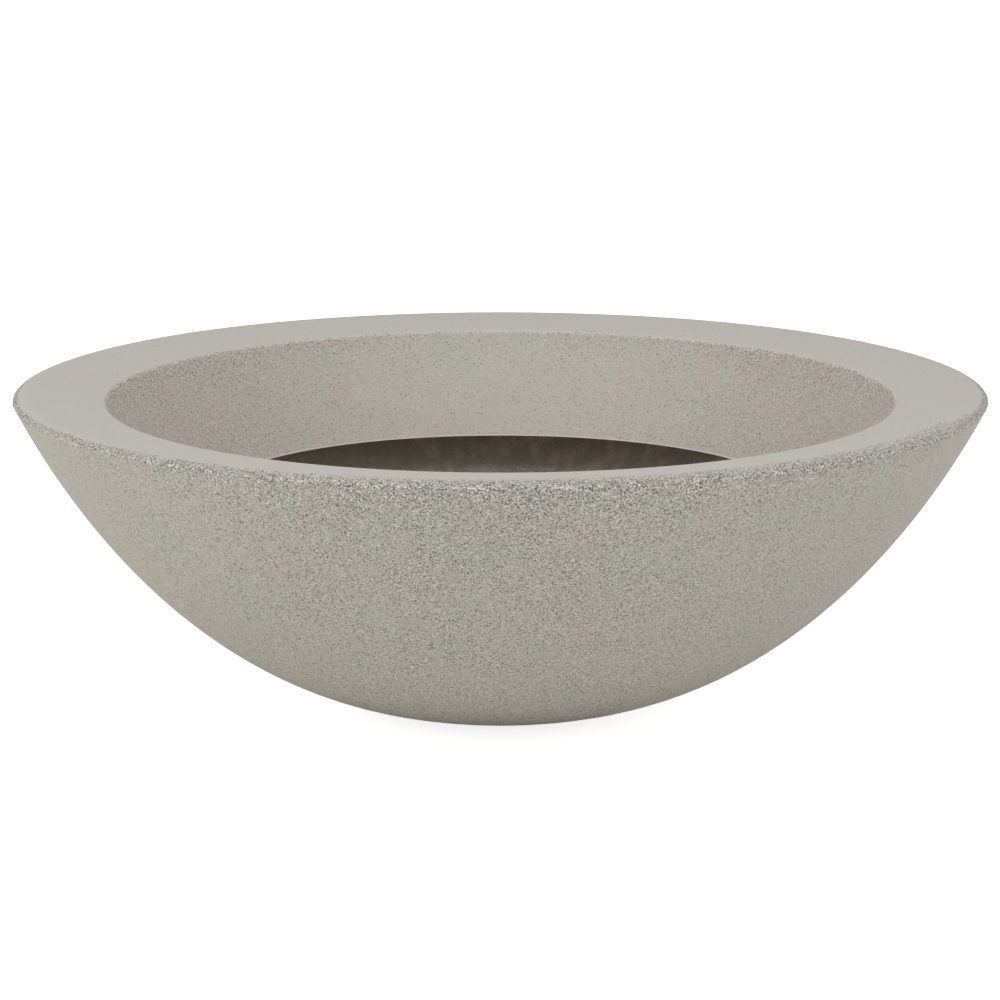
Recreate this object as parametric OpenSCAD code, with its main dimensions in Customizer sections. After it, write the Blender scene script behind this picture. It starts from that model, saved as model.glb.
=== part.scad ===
// Low, wide concrete bowl planter that stands free on a floor.
// A thin cast bowl carries a separate cast rim collar, bedded on a conical seat in mortar.
// A plastic sleeve lines the drain hole, a rubber plug closes it, and rubber pads carry the foot.
// Millimetres. Z is up, the ground is Z = 0 and the bowl's axis is the Z axis.
// Every profile is drawn as [radius, height] and turned round that axis.

/* [Bowl] */
// Diameter across the widest edge of the rim
rim_d = 914; // [800:1:1050]
// Height from the ground to the top of the rim
overall_h = 300; // [275:1:330]
// Diameter of the flat foot
foot_d = 264; // [240:1:320]
// Thickness of the cast wall
wall_t = 18; // [13:0.5:24]
// Thickness of the floor over the foot
floor_t = 24; // [18:0.5:32]
// Lean of the wall from upright where it meets the rim, in degrees
wall_lean = 27; // [22:0.5:32]
// Lean of the wall from upright where it meets the foot, in degrees
foot_lean = 77; // [70:0.5:80]
// Length over which the wall keeps its lean below the rim
wall_pull = 150; // [110:1:180]
// Length over which the wall keeps its lean above the foot
foot_pull = 150; // [110:1:180]

/* [Rim collar] */
// Width of the rounded outer edge of the rim
edge_w = 15.5; // [10:0.5:22]
// Height of the rounded outer edge, from the joint to the top
edge_h = 4.8; // [3:0.1:8]
// Width of the flat top of the rim
flat_w = 69.5; // [50:0.5:90]
// Fall of the flat top, from its outer to its inner edge
flat_fall = 6.8; // [0:0.1:12]
// Distance that the collar slopes inward, from the inner edge of the flat top to the lip
slope_reach = 103; // [70:1:130]
// Depth of the slope, from the inner edge of the flat top to the lip
slope_drop = 91; // [60:1:120]
// Thickness of the sloping collar
collar_t = 14; // [10:0.5:18]
// Rounding of the lip at the bottom of the slope
lip_r = 2.5; // [1:0.1:4]

/* [Bedding joint] */
// Width of the seat that carries the rim collar
seat_w = 22; // [16:0.5:28]
// Fall of the seat towards the axis, in degrees, which centres the collar
seat_lean = 30; // [20:1:40]
// Thickness of the mortar bed
mortar_t = 1; // [0.5:0.1:3]

/* [Drain] */
// Bore of the drain sleeve
drain_d = 40; // [30:1:50]
// Wall thickness of the drain sleeve
sleeve_wall = 4; // [2.5:0.5:6]
// Diameter of the sleeve's flange
flange_d = 72; // [64:1:84]
// Thickness of the sleeve's flange
flange_t = 3; // [2:0.5:5]
// Number of anchor ribs round the sleeve
anchor_count = 2; // [1:1:3]
// Height that each anchor rib stands out of the sleeve
anchor_h = 2; // [1:0.5:3]
// Width of each anchor rib along the sleeve
anchor_w = 3; // [2:0.5:4]

/* [Drain plug] */
// Gap all round between the plug's sealing ribs and the sleeve
plug_gap = 0.05; // [0.02:0.01:0.1]
// Length of the plug inside the sleeve
plug_len = 18; // [14:0.5:22]
// Number of sealing ribs
rib_count = 3; // [2:1:4]
// Width of each sealing rib
rib_w = 2; // [1.5:0.1:3]
// Depth of the grooves between the sealing ribs
rib_depth = 1.5; // [0.8:0.1:3]
// Diameter of the plug's head
head_d = 58; // [54:1:62]
// Thickness of the plug's head
head_t = 5; // [3:0.5:8]
// Width of the pull tab on the head
tab_w = 36; // [26:1:44]
// Height of the pull tab above the head
tab_h = 30; // [24:1:40]
// Thickness of the pull tab
tab_t = 7; // [5:0.5:12]

/* [Foot pads] */
// Diameter of the circle through the middles of the pads
pad_circle_d = 196; // [170:1:200]
// Diameter of each pad
pad_d = 40; // [30:1:44]
// Height that the pads hold the foot off the ground
pad_stand = 6; // [3:0.5:12]
// Depth that each pad is let into the foot
pad_sink = 2; // [1:0.5:5]
// Gap all round between a pad and its recess
pad_gap = 0.5; // [0.2:0.1:1]
// Chamfer round the bottom of each pad
pad_chamfer = 1.5; // [0.5:0.5:2.5]

/* [Hidden] */

$fn = 144;
curve_steps = 40; // flats along the curve of the wall
round_steps = 10; // flats round each small edge
pad_count = 4; // each pad is a node of its own

concrete = [0.70, 0.68, 0.64];
mortar = [0.60, 0.58, 0.54];
dark_plastic = [0.22, 0.22, 0.23];
black_rubber = [0.12, 0.12, 0.12];

// Heights and radii that several pieces share
foot_z = pad_stand;
floor_z = foot_z + floor_t;
joint_r = rim_d / 2;
joint_z = overall_h - edge_h;
flat_out_r = joint_r - edge_w;
flat_in_r = flat_out_r - flat_w;
flat_in_z = overall_h - flat_fall;
mouth_r = flat_in_r - slope_reach;
lip_z = flat_in_z - slope_drop;
drain_r = drain_d / 2;
sleeve_r = drain_r + sleeve_wall;

// A direction in a profile, in degrees anticlockwise from the outward radius
function heading(a) = [cos(a), sin(a)];

// Points round an arc with radii rx and rz, from angle a to angle b
function arc(mid, rx, rz, a, b) =
    [for (i = [0:round_steps]) let (t = a + (b - a) * i / round_steps)
        mid + [rx * cos(t), rz * sin(t)]];

// Where the line through p along u crosses the line through q along v
function crossing(p, u, q, v) = p + u * cross(q - p, v) / cross(u, v);

// The outer wall is a cubic Bezier curve, which leaves the joint and the foot at their leans
joint_point = [joint_r, joint_z];
foot_point = [foot_d / 2, foot_z];
wall_heading = heading(270 - wall_lean);
foot_heading = heading(270 - foot_lean);
wall_ends = [joint_point, joint_point + wall_pull * wall_heading,
             foot_point - foot_pull * foot_heading, foot_point];

function wall_point(t) =
    pow(1 - t, 3) * wall_ends[0] + 3 * pow(1 - t, 2) * t * wall_ends[1]
    + 3 * (1 - t) * t * t * wall_ends[2] + pow(t, 3) * wall_ends[3];
function wall_slope(t) =
    pow(1 - t, 2) * (wall_ends[1] - wall_ends[0])
    + 2 * (1 - t) * t * (wall_ends[2] - wall_ends[1]) + t * t * (wall_ends[3] - wall_ends[2]);
function wall_inward(t) = let (s = wall_slope(t)) [s.y, -s.x] / norm(s);

// The conical seat falls from the joint towards the axis
seat_heading = heading(180 + seat_lean);
seat_down = [-sin(seat_lean), cos(seat_lean)] * -mortar_t;
seat_in = joint_point + seat_heading * seat_w / cos(seat_lean);

// The slope of the collar runs from the flat top to the round nose of its lip
flat_in = [flat_in_r, flat_in_z];
nose = [mouth_r + lip_r, lip_z + lip_r];
to_flat = flat_in - nose;
slope_side = atan2(to_flat.y, to_flat.x) + acos(lip_r / norm(to_flat));
slope_end = nose + lip_r * heading(slope_side);
back_start = slope_end - collar_t * heading(slope_side);
flat_heading = [flat_w, flat_fall];
slope_heading = flat_in - slope_end;
lip_back = crossing(back_start, slope_heading, [mouth_r, lip_z], [1, 0]);
flange_back = crossing(back_start, slope_heading, seat_in, flat_heading);

// Everything inside the outer surface of the bowl, below the joint
module bowl_outline() {
    polygon(concat(
        [[0, foot_z]],
        [for (i = [curve_steps:-1:0]) wall_point(i / curve_steps)],
        [[0, joint_z]]));
}

// The hollow of the bowl, a wall's thickness inside its outer surface and above its floor
module hollow_outline() {
    reach = joint_r + overall_h;
    intersection() {
        polygon(concat(
            [[0, 0]],
            [for (i = [curve_steps:-1:0]) let (t = i / curve_steps)
                wall_point(t) + wall_t * wall_inward(t)],
            [[joint_r, overall_h + wall_t], [0, overall_h + wall_t]]));
        translate([0, floor_z]) square(reach);
    }
}

// The part of a profile that lies above the seat, lowered by drop. Past the inner end of the seat
// its edge runs along the underside of the collar, so that only the seat carries the collar
module above_seat(drop) {
    outer = joint_point + drop;
    inner = seat_in + drop;
    reach = joint_r;
    far = inner - reach * flat_heading / norm(flat_heading);
    polygon([far, inner, outer, outer + [reach, 0], outer + [reach, reach], [far.x, outer.y + reach]]);
}

module wall_outline() {
    difference() {
        bowl_outline();
        hollow_outline();
    }
}

// The sleeve with its bore filled, which is also the hole that it leaves in the floor
module sleeve_outline() {
    pitch = (floor_t - flange_t) / (anchor_count + 1);
    translate([0, foot_z]) square([sleeve_r, floor_t]);
    translate([0, floor_z - flange_t]) square([flange_d / 2, flange_t]);
    for (i = [1:anchor_count])
        translate([0, foot_z + i * pitch - anchor_w / 2])
            square([sleeve_r + anchor_h, anchor_w]);
}

// Puts a shape at pad number i, counted from 1; the pads stand between the X and Y axes
module at_pad(i) {
    rotate(360 * (i - 0.5) / pad_count) translate([pad_circle_d / 2, 0]) children();
}

// Thin cast bowl with a flat foot, a conical seat round its top and the drain hole
module bowl_shell() {
    color(concrete)
    difference() {
        rotate_extrude() difference() {
            wall_outline();
            above_seat(seat_down);
            sleeve_outline();
        }
        for (i = [1:pad_count]) at_pad(i)
            translate([0, 0, foot_z - 1]) cylinder(r = pad_d / 2 + pad_gap, h = pad_sink + 1);
    }
}

// Cast ring with the rounded edge, the flat top and the slope down to the lip
module rim_collar() {
    color(concrete)
    rotate_extrude() polygon(concat(
        arc([flat_out_r, joint_z], edge_w, edge_h, 0, 90),
        [flat_in],
        arc(nose, lip_r, lip_r, slope_side, 270),
        [lip_back, flange_back, seat_in]));
}

// Bed of mortar between the seat and the collar
module collar_mortar() {
    outside = joint_point - seat_w * seat_heading;
    color(mortar)
    rotate_extrude() intersection() {
        wall_outline();
        polygon([outside, seat_in, seat_in + seat_down, outside + seat_down]);
    }
}

// Plastic tube cast into the floor, with a flange flush with the floor and anchor ribs
module drain_sleeve() {
    color(dark_plastic)
    rotate_extrude() difference() {
        sleeve_outline();
        square([drain_r, overall_h]);
    }
}

// Rubber plug: a head on the flange, a ribbed shank in the sleeve and a tab to pull
module drain_plug() {
    rib_r = drain_r - plug_gap;
    rib_pitch = (plug_len - rib_w) / rib_count;
    color(black_rubber) {
        rotate_extrude() {
            translate([0, floor_z]) square([head_d / 2, head_t]);
            translate([0, floor_z - plug_len]) square([rib_r - rib_depth, plug_len]);
            for (i = [0:rib_count - 1])
                translate([0, floor_z - plug_len + i * rib_pitch]) square([rib_r, rib_w]);
        }
        translate([0, tab_t / 2, floor_z + head_t]) rotate([90, 0, 0]) linear_extrude(tab_t) {
            translate([-tab_w / 2, 0]) square([tab_w, tab_h - tab_w / 2]);
            translate([0, tab_h - tab_w / 2]) circle(d = tab_w);
        }
    }
}

// Rubber pad number i, let into its recess in the foot
module foot_pad(i) {
    color(black_rubber)
    at_pad(i) rotate_extrude() polygon([
        [0, 0], [pad_d / 2 - pad_chamfer, 0], [pad_d / 2, pad_chamfer],
        [pad_d / 2, foot_z + pad_sink], [0, foot_z + pad_sink]]);
}

bowl_shell();
rim_collar();
collar_mortar();
drain_sleeve();
drain_plug();
foot_pad(1);  // foot_pad_1
foot_pad(2);  // foot_pad_2
foot_pad(3);  // foot_pad_3
foot_pad(4);  // foot_pad_4
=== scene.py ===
"""Concrete bowl planter: the finished surfaces, the floor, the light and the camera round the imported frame.

Metres, Z up, the ground at Z = 0 and the bowl's axis on the Z axis. Every piece is turned: a profile of
[radius, height] rows goes round the axis in a geometry tree, which also gives a cast surface its slow
unevenness and its fine relief. Each row carries the finish of its stretch as mesh attributes, and the
concrete reads them. The sleeve, the plug and the pads wear the frame's own plain plastic and rubber.
"""
from __future__ import annotations

import logging
import math
from collections.abc import Callable, Mapping, Sequence
from dataclasses import dataclass, replace
from enum import Enum
from typing import Any

import bmesh
import bpy
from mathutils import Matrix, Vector

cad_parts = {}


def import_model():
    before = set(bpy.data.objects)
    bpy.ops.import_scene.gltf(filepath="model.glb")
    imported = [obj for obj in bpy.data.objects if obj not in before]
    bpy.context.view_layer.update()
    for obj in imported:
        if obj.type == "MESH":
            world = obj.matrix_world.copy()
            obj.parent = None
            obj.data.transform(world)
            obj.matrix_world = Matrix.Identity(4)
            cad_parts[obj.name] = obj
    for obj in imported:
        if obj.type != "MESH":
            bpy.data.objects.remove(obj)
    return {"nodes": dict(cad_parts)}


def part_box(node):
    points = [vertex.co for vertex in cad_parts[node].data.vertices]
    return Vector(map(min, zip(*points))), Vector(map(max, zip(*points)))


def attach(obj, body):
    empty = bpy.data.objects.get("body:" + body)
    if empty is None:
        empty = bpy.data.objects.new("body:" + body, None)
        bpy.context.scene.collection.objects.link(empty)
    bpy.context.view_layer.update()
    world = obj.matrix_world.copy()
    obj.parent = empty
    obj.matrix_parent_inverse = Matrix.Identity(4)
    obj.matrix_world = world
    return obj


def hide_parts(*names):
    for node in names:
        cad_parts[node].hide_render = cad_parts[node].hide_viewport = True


Colour = tuple[float, float, float, float]
Span = tuple[float, float]

LOG = logging.getLogger("planter")
MM = 0.001  # a millimetre in metres
WELD = 1e-6  # points that lie closer than this are one point
SLACK = 1e-6  # share of a pitch that a stretch may be too long by without another row
WHITE: Colour = (1.0, 1.0, 1.0, 1.0)


# ---------------------------------------------------------------------------------------------------------
# Node trees


class Signal:
    """A number on its way through a node tree. Arithmetic on it adds Math nodes."""

    def __init__(self, graph: Graph, socket: bpy.types.NodeSocket) -> None:
        """Wraps a socket.

        Args:
            graph: The graph that the socket belongs to.
            socket: The output socket that gives the number.
        """
        self.graph = graph
        self.socket = socket

    def __add__(self, other: Signal | float) -> Signal:
        """Sum."""
        return self.graph.math("ADD", self, other)

    def __radd__(self, other: float) -> Signal:
        """Sum with a number on the left."""
        return self.graph.math("ADD", other, self)

    def __sub__(self, other: Signal | float) -> Signal:
        """Difference."""
        return self.graph.math("SUBTRACT", self, other)

    def __rsub__(self, other: float) -> Signal:
        """Difference from a number."""
        return self.graph.math("SUBTRACT", other, self)

    def __mul__(self, other: Signal | float) -> Signal:
        """Product."""
        return self.graph.math("MULTIPLY", self, other)

    def __rmul__(self, other: float) -> Signal:
        """Product with a number on the left."""
        return self.graph.math("MULTIPLY", other, self)

    def __truediv__(self, other: Signal | float) -> Signal:
        """Quotient."""
        return self.graph.math("DIVIDE", self, other)

    def __rtruediv__(self, other: float) -> Signal:
        """Quotient of a number."""
        return self.graph.math("DIVIDE", other, self)

    def __pow__(self, other: Signal | float) -> Signal:
        """Power."""
        return self.graph.math("POWER", self, other)

    def at_most(self, other: Signal | float) -> Signal:
        """The lesser of the two."""
        return self.graph.math("MINIMUM", self, other)

    def at_least(self, other: Signal | float) -> Signal:
        """The greater of the two."""
        return self.graph.math("MAXIMUM", self, other)

    def between(self, low: float, high: float) -> Signal:
        """The low number where this is 0 and the high one where it is 1."""
        return self * (high - low) + low

    def ramp(self, low: Signal | float, high: Signal | float) -> Signal:
        """Smooth step.

        Args:
            low: Where the result is 0.
            high: Where the result is 1.

        Returns:
            A number from 0 to 1 that eases in and out between them.
        """
        return self.graph.signal("ShaderNodeMapRange", {"interpolation_type": "SMOOTHSTEP"},
                                 {"Value": self, "From Min": low, "From Max": high})


class Graph:
    """Adds nodes to one tree, each with its settings and the values or links of its sockets."""

    def __init__(self, tree: bpy.types.NodeTree) -> None:
        """Starts from a tree, which may hold nodes already."""
        self.tree = tree

    def node(self, kind: str, settings: Mapping[str, Any] | None = None,
             inputs: Mapping[str | int, Any] | None = None) -> bpy.types.Node:
        """Adds a node.

        Args:
            kind: The node's type name.
            settings: Its own settings, set before its sockets.
            inputs: For each socket, by name or place, a value or the socket or signal that feeds it.

        Returns:
            The new node.
        """
        made = self.tree.nodes.new(kind)
        for name, value in (settings or {}).items():
            setattr(made, name, value)
        for key, value in (inputs or {}).items():
            source = value.socket if isinstance(value, Signal) else value
            if isinstance(source, bpy.types.NodeSocket):
                self.tree.links.new(source, made.inputs[key])
            else:
                made.inputs[key].default_value = source
        return made

    def socket(self, kind: str, settings: Mapping[str, Any] | None = None,
               inputs: Mapping[str | int, Any] | None = None) -> bpy.types.NodeSocket:
        """Adds a node and gives its first output, with the same arguments as node()."""
        return self.node(kind, settings, inputs).outputs[0]

    def signal(self, kind: str, settings: Mapping[str, Any] | None = None,
               inputs: Mapping[str | int, Any] | None = None, output: str | int = 0) -> Signal:
        """Adds a node and wraps one of its outputs, with the same arguments as node()."""
        return Signal(self, self.node(kind, settings, inputs).outputs[output])

    def math(self, operation: str, *operands: Signal | float) -> Signal:
        """Adds a Math node for an operation on its operands."""
        return self.signal("ShaderNodeMath", {"operation": operation}, dict(enumerate(operands)))

    def vector_math(self, operation: str, inputs: Mapping[str | int, Any]) -> bpy.types.NodeSocket:
        """Adds a Vector Math node for an operation on its inputs."""
        return self.socket("ShaderNodeVectorMath", {"operation": operation}, inputs)

    def attribute(self, name: str) -> Signal:
        """A number that the mesh of a shaded piece carries."""
        return self.signal("ShaderNodeAttribute", {"attribute_name": name}, output="Fac")

    def mesh_attribute(self, name: str, kind: str = "FLOAT") -> bpy.types.NodeSocket:
        """What the mesh in a geometry tree carries under a name."""
        return self.socket("GeometryNodeInputNamedAttribute", {"data_type": kind}, {"Name": name})

    def mix(self, share: Signal | float, first: Any, second: Any, way: str = "MIX") -> bpy.types.NodeSocket:
        """Mixes two colours.

        Args:
            share: How much of the second colour shows, from 0 to 1.
            first: A colour, or the socket of one.
            second: A colour, or the socket of one.
            way: How the second colour goes over the first.

        Returns:
            The socket of the mixed colour.
        """
        factor, first_colour, second_colour, result = 0, 6, 7, 2
        return self.node("ShaderNodeMix", {"data_type": "RGBA", "clamp_factor": True, "blend_type": way},
                         {factor: share, first_colour: first, second_colour: second}).outputs[result]


@dataclass(frozen=True)
class Noise:
    """Soft irregular patches of a finish.

    Attributes:
        size: Size of a patch.
        detail: Number of finer layers on top of the patches.
        start: Level of the noise, from 0 to 1, at which a patch starts.
        full: Level at which the patch is at its full strength.
    """

    size: float
    detail: float
    start: float = 0.0
    full: float = 1.0

    def level(self, graph: Graph, place: bpy.types.NodeSocket, roughness: float) -> Signal:
        """The plain noise, from 0 to 1.

        Args:
            graph: The material's graph.
            place: The socket of the coordinates.
            roughness: Strength of each finer layer as a share of the one before.

        Returns:
            The level of the noise.
        """
        return graph.signal("ShaderNodeTexNoise", None, {
            "Vector": place, "Scale": 1 / self.size, "Detail": self.detail, "Roughness": roughness})

    def patches(self, graph: Graph, place: bpy.types.NodeSocket, roughness: float) -> Signal:
        """1 in the patches and 0 between them, with the same arguments as level()."""
        return self.level(graph, place, roughness).ramp(self.start, self.full)


def geometry_tree(name: str, inputs: Mapping[str, str]) -> tuple[Graph, bpy.types.Node]:
    """Starts a geometry tree.

    Args:
        name: The tree's name.
        inputs: The socket type of each named input, after the geometry that every tree takes.

    Returns:
        The graph and its input node. keep() closes the tree.
    """
    tree = bpy.data.node_groups.new(name, "GeometryNodeTree")
    tree.interface.new_socket("Geometry", in_out="INPUT", socket_type="NodeSocketGeometry")
    for label, kind in inputs.items():
        tree.interface.new_socket(label, in_out="INPUT", socket_type=kind)
    tree.interface.new_socket("Geometry", in_out="OUTPUT", socket_type="NodeSocketGeometry")
    graph = Graph(tree)
    return graph, graph.node("NodeGroupInput")


def keep(graph: Graph, geometry: bpy.types.NodeSocket, material: bpy.types.NodeSocket) -> None:
    """Ends a geometry tree: its instances become real and take the material.

    Args:
        graph: The tree's graph.
        geometry: The socket of what the tree made.
        material: The socket of its material.
    """
    real = graph.socket("GeometryNodeRealizeInstances", None, {"Geometry": geometry})
    dressed = graph.socket("GeometryNodeSetMaterial", None, {"Geometry": real, "Material": material})
    graph.node("NodeGroupOutput", None, {"Geometry": dressed})


def spread(graph: Graph, count: bpy.types.NodeSocket, radius: bpy.types.NodeSocket,
           shape: bpy.types.NodeSocket) -> bpy.types.NodeSocket:
    """Repeats a shape on a circle round the axis, from half a step off the X axis.

    Args:
        graph: The tree's graph.
        count: The socket of the number of copies.
        radius: The socket of the circle's radius.
        shape: The socket of the shape.

    Returns:
        The socket of the instances.
    """
    circle = graph.socket("GeometryNodeMeshCircle", None, {"Vertices": count, "Radius": radius})
    turn = graph.socket("ShaderNodeCombineXYZ", None, {"Z": math.pi / Signal(graph, count)})
    turned = graph.socket("GeometryNodeTransform", None, {"Geometry": circle, "Rotation": turn})
    return graph.socket("GeometryNodeInstanceOnPoints", None, {"Points": turned, "Instance": shape})


def add_object(name: str, data: bpy.types.ID) -> bpy.types.Object:
    """Adds an object to the scene.

    Args:
        name: The object's name.
        data: Its mesh, lamp or camera.

    Returns:
        The object.
    """
    made = bpy.data.objects.new(name, data)
    bpy.context.scene.collection.objects.link(made)
    return made


def settle_mesh(host: bpy.types.Object, modifier: bpy.types.Modifier) -> None:
    """Keeps what a modifier makes as the object's own plain mesh.

    Args:
        host: The object.
        modifier: Its only modifier, which is removed.
    """
    depsgraph = bpy.context.evaluated_depsgraph_get()
    made = bpy.data.meshes.new_from_object(host.evaluated_get(depsgraph), preserve_all_data_layers=True,
                                           depsgraph=depsgraph)
    host.modifiers.remove(modifier)
    host.data = made


def grow(host: bpy.types.Object, tree: bpy.types.NodeTree, values: Mapping[str, Any]) -> None:
    """Runs a geometry tree on an object and keeps the result as the object's own plain mesh.

    Args:
        host: The object, whose mesh is the tree's geometry.
        tree: The geometry tree.
        values: The value of each named input.
    """
    modifier = host.modifiers.new(tree.name, "NODES")
    modifier.node_group = tree
    for item in tree.interface.items_tree:
        if item.in_out == "INPUT" and item.name in values:
            modifier[item.identifier] = values[item.name]
    settle_mesh(host, modifier)


# ---------------------------------------------------------------------------------------------------------
# Turned profiles


@dataclass(frozen=True)
class Face:
    """How one stretch of a turned profile is finished.

    Attributes:
        bare: 0 where the skin is trowelled shut and 1 where it is open.
        grit: How deep the grain of the open skin is cut, about 1 where it is blasted most.
        sides: How much stronger, or weaker if negative, the grain and the blasted colour are on the left and
            right than
        at the front and back, as a share. Where it is positive, on the slope, it paints shade there, darker
        and warmer.
        raw: 1 on the raw face inside the bowl, which no one trowelled or blasted, and 0 elsewhere.
        swell: Share of the slow unevenness of a cast surface.
        relief: Share of the fine relief of bare grains.
    """

    bare: float = 0.0
    grit: float = 0.0
    sides: float = 0.0
    raw: float = 0.0
    swell: float = 0.0
    relief: float = 0.0

    def towards(self, other: Face, share: float) -> Face:
        """The face part of the way to another one."""
        return Face(*(a + (b - a) * share for a, b in zip(self.values(), other.values())))

    def values(self) -> tuple[float, ...]:
        """Its numbers, in the order of their names."""
        return self.bare, self.grit, self.sides, self.raw, self.swell, self.relief


FACE_NAMES = ("bare", "grit", "sides", "raw", "swell", "relief")


@dataclass(frozen=True)
class Corner:
    """A corner of a turned profile, with the stretch that leads from it to the next corner.

    Attributes:
        point: Radius and height.
        face: Finish of the stretch.
        rounding: Radius of the arc that rounds the corner, or 0.
        pitch: Greatest distance between the rows of the stretch.
        inward: Direction in which unevenness moves the corner, or None for halfway between its sides.
    """

    point: Vector
    face: Face
    rounding: float = 0.0
    pitch: float = 50 * MM
    inward: Vector | None = None


def even(radius: float, height: float, rounding: float = 0.0, pitch: float = Corner.pitch) -> Corner:
    """A corner of a moulded piece, whose faces are even all over."""
    return Corner(Vector((radius, height)), Face(), rounding, pitch)


@dataclass
class Row:
    """One ring of points of a turned piece.

    Attributes:
        point: Radius and height.
        face: Its finish.
        inward: Direction in which unevenness moves it.
    """

    point: Vector
    face: Face
    inward: Vector | None = None


def heading(degrees: float) -> Vector:
    """A direction in a profile, in degrees anticlockwise from the outward radius."""
    return Vector((math.cos(math.radians(degrees)), math.sin(math.radians(degrees))))


def crossing(p: Vector, u: Vector, q: Vector, v: Vector) -> Vector:
    """Where the line through p along u crosses the line through q along v."""
    return p + u * ((q - p).cross(v) / u.cross(v))


def round_off(before: Vector, corner: Vector, after: Vector, radius: float, steps: int) -> list[Vector]:
    """Points on the arc that rounds a corner.

    Args:
        before: The point before the corner.
        corner: The corner itself.
        after: The point after the corner.
        radius: The arc's radius.
        steps: Flats along the arc.

    Returns:
        The points from one end of the arc to the other.
    """
    back = (before - corner).normalized()
    ahead = (after - corner).normalized()
    half = math.acos(max(-1.0, min(1.0, back.dot(ahead)))) / 2
    middle = corner + (back + ahead).normalized() * (radius / math.sin(half))
    start = corner + back * (radius / math.tan(half)) - middle
    turn = math.copysign(math.pi - 2 * half, start.cross(corner - middle))
    points = []
    for i in range(steps + 1):
        angle = turn * i / steps
        points.append(middle + Vector((start.x * math.cos(angle) - start.y * math.sin(angle),
                                       start.x * math.sin(angle) + start.y * math.cos(angle))))
    return points


@dataclass
class Profile:
    """The outline of a turned piece: corners that are rounded off and joined by rows of points.

    Attributes:
        corners: The corners, with the material of the piece on the left of the way round.
        closed: Whether the last corner leads back to the first. An open profile starts and ends on the axis.
        arc_steps: Flats along each rounded corner.
    """

    corners: Sequence[Corner]
    closed: bool = True
    arc_steps: int = 4

    def rows(self) -> list[Row]:
        """Rounds the corners and fills the stretches between them.

        Returns:
            The rows of the outline in order.
        """
        made: list[Row] = []
        count = len(self.corners)
        arcs = [self._arc(i) for i in range(count)]
        for i, corner in enumerate(self.corners):
            last_face = self.corners[i - 1].face if self.closed or i else corner.face
            arc = arcs[i]
            for n, point in enumerate(arc):
                share = n / (len(arc) - 1) if len(arc) > 1 else 1.0
                made.append(Row(point, last_face.towards(corner.face, share), corner.inward))
            if not self.closed and i == count - 1:
                break
            start, end = arc[-1], arcs[(i + 1) % count][0]
            pieces = max(1, math.ceil((end - start).length / corner.pitch - SLACK))
            made += [Row(start.lerp(end, n / pieces), corner.face) for n in range(1, pieces)]
        for i, row in enumerate(made):
            if row.inward is None:
                row.inward = self._inward(made[i - 1].point, row.point, made[(i + 1) % len(made)].point)
        return made

    @staticmethod
    def _inward(before: Vector, point: Vector, after: Vector) -> Vector:
        """The direction into the material at a point, halfway between the sides that meet there."""
        sides = (point - before).normalized() + (after - point).normalized()
        return Vector((-sides.y, sides.x)).normalized()

    def _arc(self, i: int) -> list[Vector]:
        """Rounds one corner.

        Args:
            i: The corner's place in the list.

        Returns:
            The points of its arc, or the corner alone.
        """
        corner = self.corners[i]
        if corner.rounding == 0:
            return [corner.point]
        before = self.corners[i - 1].point
        after = self.corners[(i + 1) % len(self.corners)].point
        return round_off(before, corner.point, after, corner.rounding, self.arc_steps)

    def host(self, name: str) -> bpy.types.Object:
        """Draws the outline upright over the X axis.

        Args:
            name: The name of the object.

        Returns:
            An object whose mesh is the outline's edges, with each row's finish as attributes.
        """
        rows = self.rows()
        links = [(i, i + 1) for i in range(len(rows) - 1)]
        if self.closed:
            links.append((len(rows) - 1, 0))
        mesh = bpy.data.meshes.new(name)
        mesh.from_pydata([(row.point.x, 0.0, row.point.y) for row in rows], links, [])
        for place, label in enumerate(FACE_NAMES):
            attribute = mesh.attributes.new(label, "FLOAT", "POINT")
            attribute.data.foreach_set("value", [row.face.values()[place] for row in rows])
        inward = mesh.attributes.new("inward", "FLOAT_VECTOR", "POINT")
        inward.data.foreach_set("vector", [x for row in rows for x in (row.inward.x, 0.0, row.inward.y)])
        return add_object(name, mesh)


@dataclass(frozen=True)
class Surface:
    """The unevenness that a turning tree gives a piece, always into the material.

    Attributes:
        swell_depth: Depth of the slow unevenness where swell is 1.
        swell_size: Distance from one swelling to the next.
        relief_depth: Depth of the fine relief where relief is 1.
        relief_size: Distance from one bare grain to the next.
        seed: Fixes the pattern.
    """

    swell_depth: float = 0.5 * MM
    swell_size: float = 90 * MM
    relief_depth: float = 0.5 * MM
    relief_size: float = 5 * MM
    seed: float = 1.7

    def values(self) -> dict[str, float]:
        """The inputs of the turning tree that it sets."""
        return {"Swell Depth": self.swell_depth, "Swell Scale": 1 / self.swell_size,
                "Relief Depth": self.relief_depth, "Relief Scale": 1 / self.relief_size, "Seed": self.seed}


STEPS = 1280  # flats round the axis of the cast pieces
FINE_STEPS = 192  # flats round the axis of the sleeve and the plug


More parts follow.
